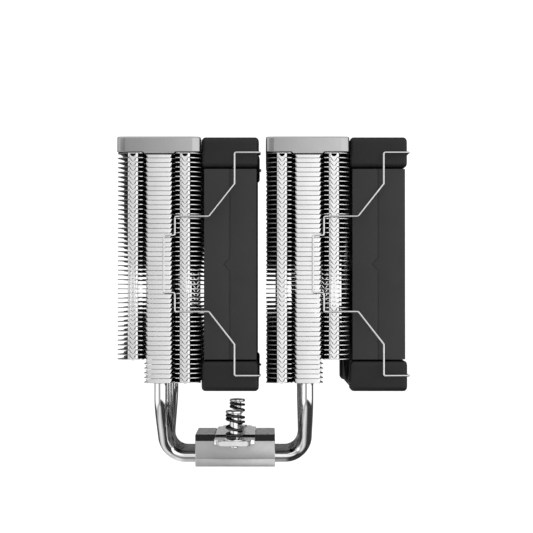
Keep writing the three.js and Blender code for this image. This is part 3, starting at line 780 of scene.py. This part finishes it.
def impeller(fan, x0, z0):
    """Arched blades that twist and sweep along their length, round a hub with a socket for the shaft."""
    shape = Shape()
    radial, around = 14, 14
    for b in range(BLADES):
        rings = []
        for i in range(radial + 1):
            out = i / radial
            r = mix(BLADE_ROOT, BLADE_TIP, out)
            upper, lower = [], []
            for j in range(around + 1):
                along = j / around - 0.5
                arch = 1 - (2 * along) ** 2
                sweep = mix(33, 31, out) * along * mix(1, 0.96, out**4) + 14 * out**1.5
                turn = math.radians(sweep) + b * 2 * math.pi / BLADES
                lift = mix(15, 9, out) * along + 1 + 0.9 * arch * (1 - 0.4 * out)
                thick = mix(1.5, 0.8, out) * (0.25 + 0.75 * arch ** 0.5) / 2
                for points, sign in ((upper, 1), (lower, -1)):
                    points.append((x0 + lift + sign * thick, r * math.cos(turn), z0 + r * math.sin(turn)))
            rings.append(upper + lower[::-1])
        shape.loft(rings)
    hub = [
        (0.01, 9.55), (7.4, 9.55), (7.7, 9.75), (8.2, 9.75), (8.6, 9.55), (17.6, 9.6), (19.2, 9.45),
        (20.3, 8.8), (20.9, 7.6), (21.0, 6), (21.0, -8.6), (20.8, -9), (19.6, -9), (19.4, -8.6), (19.4, 8.2),
        (0.01, 8.2),
    ]
    socket = [(3.4, 8.3), (3.4, 5.2), (3.2, 5), (1.7, 5), (1.5, 5.2), (1.5, 8.3)]
    shape.lathe(hub, (x0, 0, z0), axis="x", sides=64)
    shape.lathe(socket, (x0, 0, z0), axis="x", sides=24)
    node, body = f"impeller_{fan}", f"rotor_{fan}"
    shape.build(f"rotor_{fan}_blades", body, "impeller", [node], "impeller_plastic", sharp=40)


WIRE_RADIUS = 0.46
WIRE_ROOM = 0.55  # half the width that the CAD leaves for the wire
WIRE_BEND = 1.0
FRAME_Z, ARM_Z, GRIP_Z = 37.7, 22.4, 13.5  # where it leaves the frame, runs to the tower and grips it


def clip(fan, side):
    """A bent wire from the hook in the upper hole, over the frame and into the fins, and back."""
    node = f"clip_{fan}_{side}"
    nearfar = -1 if side == "near" else 1
    z0 = middle(node).z
    hook_x, hook_y = high(node).x - WIRE_ROOM, HOLE_AT - 0.9
    tower_x = middle("top_cover_left" if fan == "middle" else "top_cover_right").x
    out = FRONT + 0.1 + WIRE_ROOM
    fan_x = middle(f"fan_frame_{fan}").x
    half = [
        (hook_x - 3.2, hook_y, HOLE_AT), (hook_x, hook_y, HOLE_AT), (hook_x, out, HOLE_AT),
        (fan_x + 2.05, out, HOLE_AT), (fan_x + 2.05, out, FRAME_Z),
        (fan_x - 9.95, out, ARM_Z), (fan_x - 23.9, out, ARM_Z), (tower_x + 7.5, out - 1.0, ARM_Z),
        (tower_x + 7.5, out - 1.0, GRIP_Z), (tower_x + 2.3, out + 0.3, GRIP_Z),
    ]
    line = [(x, nearfar * y, z0 + z) for x, y, z in half]
    line += [(x, nearfar * y, z0 - z) for x, y, z in reversed(half)]
    shape = Shape().tube(rounded(line, WIRE_BEND), WIRE_RADIUS, sides=14)
    shape.build(f"wire_{fan}_{side}", node, "wire", [node], "clip_wire")


def fan(name):
    centre = middle(f"fan_frame_{name}")
    fan_frame(name, centre.x, centre.z)
    impeller(name, centre.x, centre.z)
    for corner in ("far_lower", "far_upper", "near_lower", "near_upper"):
        pad(name, corner)
    for side in ("near", "far"):
        clip(name, side)


# ---------------------------------------------------------------- base and mounting


PLATE_CORNER = 0.5


def plate(name, node, material, slot, bevel):
    """A block of its CAD node's size, with rounded corners and bevelled edges."""
    a, b = low(node), high(node)
    outline = rounded_rectangle(b.x - a.x, b.y - a.y, PLATE_CORNER, steps=3)
    spans = [(a.z, bevel), (a.z + bevel * 0.3, bevel * 0.3), (a.z + bevel, 0)]
    spans += [(b.z - bevel, 0), (b.z - bevel * 0.3, bevel * 0.3), (b.z, bevel)]
    Shape().prism(outline, spans).build(name, "heatsink", material, [node], slot)


CHANNEL_HALF, CHANNEL_DEPTH = 10.2, 2.42
CAP_ROUND, CAP_BEVEL = 0.25, 0.12  # along the cap's top edges, and at its near and far ends


def base_cap():
    """The black top of the base: two shoulders with the crossbar's channel between them."""
    a, b = low("base_cap"), high("base_cap")
    bottom, floor, channel, r = a.z + 0.02, b.z - CHANNEL_DEPTH, CHANNEL_HALF, CAP_ROUND
    profile = [
        (a.x, bottom), (b.x, bottom), (b.x, b.z - r), (b.x - r * 0.3, b.z - r * 0.3), (b.x - r, b.z),
        (channel + r, b.z), (channel, b.z - r), (channel, floor),
        (-channel, floor), (-channel, b.z - r), (-channel - r, b.z),
        (a.x + r, b.z), (a.x + r * 0.3, b.z - r * 0.3), (a.x, b.z - r),
    ]
    rows = [(a.y, CAP_BEVEL), (a.y + CAP_BEVEL, 0), (b.y - CAP_BEVEL, 0), (b.y, CAP_BEVEL)]
    rings = [[(x, y, z) for x, z in inset(profile, d)] for y, d in rows]
    Shape().loft(rings, flip=True).build("cap", "heatsink", "black_cap", ["base_cap"], "black_cap")


# The crossbar's half width at distances from its tip.
EAR = [
    (0, 6.3), (0.16, 6.5), (0.4, 6.65), (1.1, 7.4), (1.5, 7.65), (2.2, 7.75), (7.4, 7.85), (7.7, 8.1),
    (7.85, 8.6), (8.0, 9.3), (8.3, 9.75), (8.8, 9.95), (9.6, 10.0),
]
EAR_TOP_Z = 15.0
SLOPE_FROM, SLOPE_TO = 0.3, 2.4  # how far beyond the base the bar slopes down to its ears
BAR_THICKNESS, BAR_BEVEL = 2.3, 0.22

BAR_MATERIALS = ["bar_face", "bar_edge"]
BAR_EDGE = 1  # its place in that list


def crossbar():
    """A bar with a raised middle in the cap's channel and an ear at each end."""
    reach, top_z = high("crossbar").y, high("crossbar").z
    half_base = high("base_cap").y

    def width(y):
        from_tip = min(reach - abs(y), EAR[-1][0])
        for (da, wa), (db, wb) in zip(EAR, EAR[1:]):
            if from_tip <= db:
                return mix(wa, wb, (from_tip - da) / (db - da))

    ys = [reach - d for d, _ in EAR]
    ys += [half_base + d for d in (6, 2.6, 2.2, 1.5, 0.8, 0.4, 0.1)] + [half_base - 2, 10, 0]
    ys = sorted({round(y, 4) for y in ys} | {round(-y, 4) for y in ys})
    rings = []
    for y in ys:
        w = width(y)
        z = mix(top_z, EAR_TOP_Z, smoothstep(abs(y), half_base + SLOPE_FROM, half_base + SLOPE_TO))
        under, e = z - BAR_THICKNESS, BAR_BEVEL
        section = [
            (-w + e, z), (w - e, z), (w, z - e), (w, under + e),
            (w - e, under), (-w + e, under), (-w, under + e), (-w, z - e),
        ]
        rings.append([(x, y, h) for x, h in section])
    shape = Shape().loft(rings)
    n = len(rings[0])
    for r in range(len(rings) - 1):
        for i in (1, 2, 3, 5, 6, 7):  # all but the top and the underside
            shape.kinds[r * n + i] = BAR_EDGE
        if rings[r][0][2] != rings[r + 1][0][2]:
            shape.kinds[r * n] = BAR_EDGE
    shape.kinds[-2:] = [BAR_EDGE, BAR_EDGE]
    shape.build("bar", "heatsink", BAR_MATERIALS, ["crossbar"], "crossbar_nickel", sharp=30)


HEAD_HEIGHT = 1.6
THREAD_FROM, THREAD_TO, THREAD_PITCH = 0.6, 14.6, 0.5  # starting above the tip, and ending at a height
THREAD_RADIUS, THREAD_ROOT = 1.92, 1.62
RECESS_DEPTH = 0.9
RING_RADIUS, RING_WIRE, RING_GAP = 2.5, 0.22, 40  # its gap in degrees


def spring_screw(name):
    """A screw with grooves for its thread and a crossed rib in the head's recess, and its snap ring."""
    node = f"spring_screw_{name}"
    centre = middle(node)
    tip, top = low(node).z, high(node).z
    under_head, recess = top - HEAD_HEIGHT, top - RECESS_DEPTH
    profile = [(0.01, tip), (1.75, tip), (1.95, tip + 0.2)]
    z = tip + THREAD_FROM
    while z < THREAD_TO:
        profile += [(THREAD_RADIUS, z), (THREAD_ROOT, z + THREAD_PITCH / 2)]
        z += THREAD_PITCH
    profile += [
        (1.9, 15.2), (2.15, 15.5), (2.15, under_head), (3.8, under_head), (4.1, under_head + 0.25),
        (4.1, top - 0.5), (3.9, top - 0.2), (3.5, top), (2.3, top), (2.1, top - 0.15), (2.0, recess),
        (0.01, recess),
    ]
    shape = Shape().lathe(profile, (centre.x, centre.y, 0), sides=40)
    rib = [(-2.05, -0.3), (2.05, -0.3), (2.05, 0.3), (-2.05, 0.3)]
    for turn in (0, math.pi / 2):
        c, s = math.cos(turn), math.sin(turn)
        outline = [(centre.x + x * c - y * s, centre.y + x * s + y * c) for x, y in rib]
        shape.loft([[(x, y, z) for x, y in outline] for z in (top - 1.0, top - 0.45)])
    shape.build(f"sprung_screw_{name}", f"spring_screw_{name}", "screw", [node], "screw_nickel", sharp=28)

    ring = middle(f"retaining_ring_{name}")
    steps = 28
    arc = [math.radians(RING_GAP / 2 + (360 - RING_GAP) * k / steps) for k in range(steps + 1)]
    line = [(ring.x + RING_RADIUS * math.sin(t), ring.y - RING_RADIUS * math.cos(t), ring.z) for t in arc]
    Shape().tube(line, RING_WIRE, sides=8).build(
        f"snap_ring_{name}", f"screw_carrier_{name}", "steel", [f"retaining_ring_{name}"], "screw_nickel"
    )


# A spring's turns, and how far up it they are.
SPRING_KNOTS = [(-0.3, 0), (0, 0.01), (1, 0.135), (2, 0.45), (3, 0.845), (4, 0.99), (4.3, 1)]
SPRING_WIRE, SPRING_RADIUS = 0.7, 3.52
SPRING_STEPS = 28  # points in a turn
SPRING_TOP = 16.6  # above the screw's tip


def spring_height(turns):
    for (ta, ha), (tb, hb) in zip(SPRING_KNOTS, SPRING_KNOTS[1:]):
        if turns <= tb:
            return mix(ha, hb, max(0, (turns - ta) / (tb - ta)))
    return 1


def spring(name):
    """A coil spring, and the washer under it."""
    node, washer_node = f"coil_spring_{name}", f"spring_washer_{name}"
    centre = middle(washer_node)
    z0, z1 = high(washer_node).z + SPRING_WIRE, low(f"spring_screw_{name}").z + SPRING_TOP - SPRING_WIRE
    line = []
    first, last = SPRING_KNOTS[0][0], SPRING_KNOTS[-1][0]
    count = round((last - first) * SPRING_STEPS)
    for k in range(count + 1):
        t = mix(first, last, k / count)
        # The height is averaged over a quarter of a turn each way, so that the coils part gently.
        height = sum(spring_height(t + d / 16) for d in range(-4, 5)) / 9
        turn = math.pi - 2 * math.pi * t
        point = (centre.x + SPRING_RADIUS * math.cos(turn), centre.y + SPRING_RADIUS * math.sin(turn))
        line.append((*point, mix(z0, z1, height)))
    shape = Shape().tube(line, SPRING_WIRE, sides=14)
    made = shape.build(f"spring_{name}", "heatsink", "spring", [node], "spring_steel")
    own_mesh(made)

    z = low(washer_node).z
    section = [
        (2.6, z), (5.0, z), (5.1, z + 0.15), (5.1, z + 0.5), (4.9, z + 0.68), (2.8, z + 0.68), (2.6, z + 0.5),
    ]
    washer = Shape().lathe(section, (centre.x, centre.y, 0), sides=40, closed=True)
    washer.build(f"washer_{name}", "heatsink", "screw", [washer_node], "washer_nickel")


def repaint(node, look):
    made = NODES[node]
    if not made.material_slots:
        made.data.materials.append(MATERIALS[look])
    for material_slot in made.material_slots:
        material_slot.material = MATERIALS[look]


def finish_nodes():
    """Better materials for the CAD nodes that stay."""
    looks = {
        "hub_label": "label",
        "motor_shaft": "steel",
        "magnet_ring": "magnet",
        "rotor_yoke": "steel",
        "bearing_sleeve": "brass",
        "circuit_board": "board",
        "stator": "copper",
    }
    for fan_name in ("middle", "outer"):
        for node, look in looks.items():
            repaint(f"{node}_{fan_name}", look)
    for end in ("near", "far"):
        repaint(f"crossbar_screw_{end}", "screw")


# ---------------------------------------------------------------- stage, light and camera

FLOOR_REACH, FLOOR_Z = 4.0, -0.0002  # metres
FLOOR_ALPHA = 0.04


def stage():
    """A pale floor that lets most of the white surround through, so that it has no edge."""
    mesh = bpy.data.meshes.new("floor")
    corners = [(-1, -1), (1, -1), (1, 1), (-1, 1)]
    mesh.from_pydata([(FLOOR_REACH * x, FLOOR_REACH * y, 0) for x, y in corners], [], [(0, 1, 2, 3)])
    floor = bpy.data.objects.new("floor", mesh)
    floor.location.z = FLOOR_Z
    bpy.context.collection.objects.link(floor)
    n = MaterialTree("pale_floor")
    n.into("Base Color", (*grey(0.9), 1))
    n.into("Roughness", 0.9)
    n.into("Specular IOR Level", 0.0)
    n.into("Alpha", FLOOR_ALPHA)
    mesh.materials.append(n.material)


# The studio is worked out from direction, as (place, brightness) or (place, share that shows), where a
# place is a part of a direction of length 1: -1 to 1 from left to right, front to back, or down to up.

# The walls, by degrees round from the front towards +X.
WALLS = [
    (-180, 0.10), (-150, 0.07), (-122, 0.07), (-102, 1.15), (-42, 1.20), (-32, 0.38), (-13, 0.34),
    (-2, 0.80), (5, 1.45), (60, 1.40), (84, 1.30), (106, 0.07), (150, 0.07), (180, 0.10),
]
# How much of them shows, by height. They stand lower towards both sides, and less so on the right.
WALL_SHARE = [(-1.4, 0), (-0.38, 0), (-0.20, 1), (0.34, 1), (0.50, 0), (1.4, 0)]
WALL_DROP = 0.35
WALL_TILT = -0.14
# The ceiling: its front part, how much of that shows towards the back, and the rest from its middle out.
CEILING_FRONT = 0.95
CEILING_SHARE = [(-1, 1), (0.08, 1), (0.36, 0), (1, 0)]
CEILING_BACK = [(-1, 0.04), (0.38, 0.04), (0.62, 0.50), (1, 0.55)]
# The floor from left to right, times this from front to back, and how much of it shows by height.
FLOOR = [
    (-1, 0.25), (-0.5, 0.55), (-0.33, 0.86), (-0.22, 0.84), (-0.12, 0.62), (0.0, 0.40), (0.14, 0.03),
    (1, 0.03),
]
FLOOR_FRONT = [(-1, 0.35), (-0.75, 0.35), (-0.4, 1), (1, 1)]
FLOOR_SHARE = [(-1, 1), (-0.15, 1), (0.15, 0), (1, 0)]
# A bright backdrop straight behind, how much of it shows towards the back, and how much by height.
BACKDROP = 0.85
BACKDROP_SHARE = [(-1, 0), (0.955, 0), (0.99, 1), (1, 1)]
BACKDROP_RISE = [(-1, 0), (0.0, 0), (0.04, 1), (1, 1)]

SURROUND_STRENGTH = 1.15  # of the white that the camera sees


def light_scene():
    """Soft wide panels all round, with dark gaps between them, seen only in what they light."""
    world = bpy.data.worlds.new("studio")
    bpy.context.scene.world = world
    world.use_nodes = True
    n = Tree(world.node_tree)
    x, y, z = n.add("ShaderNodeSeparateXYZ", {0: n.add("ShaderNodeTexCoord")["Generated"]})
    across = n.maths("ABSOLUTE", x)
    turn = n.maths("DEGREES", n.maths("ARCTAN2", x, n.maths("MULTIPLY", y, -1)))
    height = n.maths("MULTIPLY_ADD", across, WALL_DROP, n.maths("MULTIPLY_ADD", x, WALL_TILT, z))

    floor = n.mix(1, n.ramp(x, FLOOR), n.ramp(y, FLOOR_FRONT), "MULTIPLY")
    ceiling = n.mix(n.ramp(y, CEILING_SHARE), n.ramp(across, CEILING_BACK), (*grey(CEILING_FRONT), 1))
    room = n.mix(n.ramp(z, FLOOR_SHARE), ceiling, floor)
    room = n.mix(n.ramp(height, WALL_SHARE), room, n.ramp(turn, WALLS))
    behind = n.mix(n.ramp(z, BACKDROP_RISE), room, (*grey(BACKDROP), 1))
    room = n.mix(n.ramp(y, BACKDROP_SHARE), room, behind)

    background = n.tree.nodes["Background"]
    n.feed(background.inputs["Color"], room)
    surround = n.add("ShaderNodeBackground", {"Color": (1, 1, 1, 1), "Strength": SURROUND_STRENGTH})[0]
    is_seen = n.add("ShaderNodeLightPath")["Is Camera Ray"]
    both = n.add("ShaderNodeMixShader", {0: is_seen, 1: background.outputs[0], 2: surround})[0]
    n.feed(n.tree.nodes["World Output"].inputs["Surface"], both)
    bpy.context.scene.view_settings.view_transform = "Standard"


CAMERA_PLACE = (0.01555, -0.860, 0.0875)  # metres
CAMERA_TILT = 0.792  # degrees up
CAMERA_LENS, SENSOR_WIDTH = 114.35, 36


def camera():
    data = bpy.data.cameras.new("camera")
    data.sensor_width = SENSOR_WIDTH
    data.lens = CAMERA_LENS
    data.clip_start = 0.05
    made = bpy.data.objects.new("camera", data)
    made.location = CAMERA_PLACE
    made.rotation_euler = (math.radians(90 + CAMERA_TILT), 0, 0)
    bpy.context.collection.objects.link(made)
    bpy.context.scene.camera = made


camera()
stage()
light_scene()
tower("left", -1)
tower("right", 1)
for pipe_number in PIPES:
    heat_pipe(pipe_number)
fan("middle")
fan("outer")
plate("contact_plate", "cold_plate", "cold_plate", "cold_plate_nickel", 0.2)
plate("clamp_block", "base_block", "base", "base_nickel", 0.12)
base_cap()
crossbar()
for end_name in ("near", "far"):
    spring_screw(end_name)
    spring(end_name)
finish_nodes()
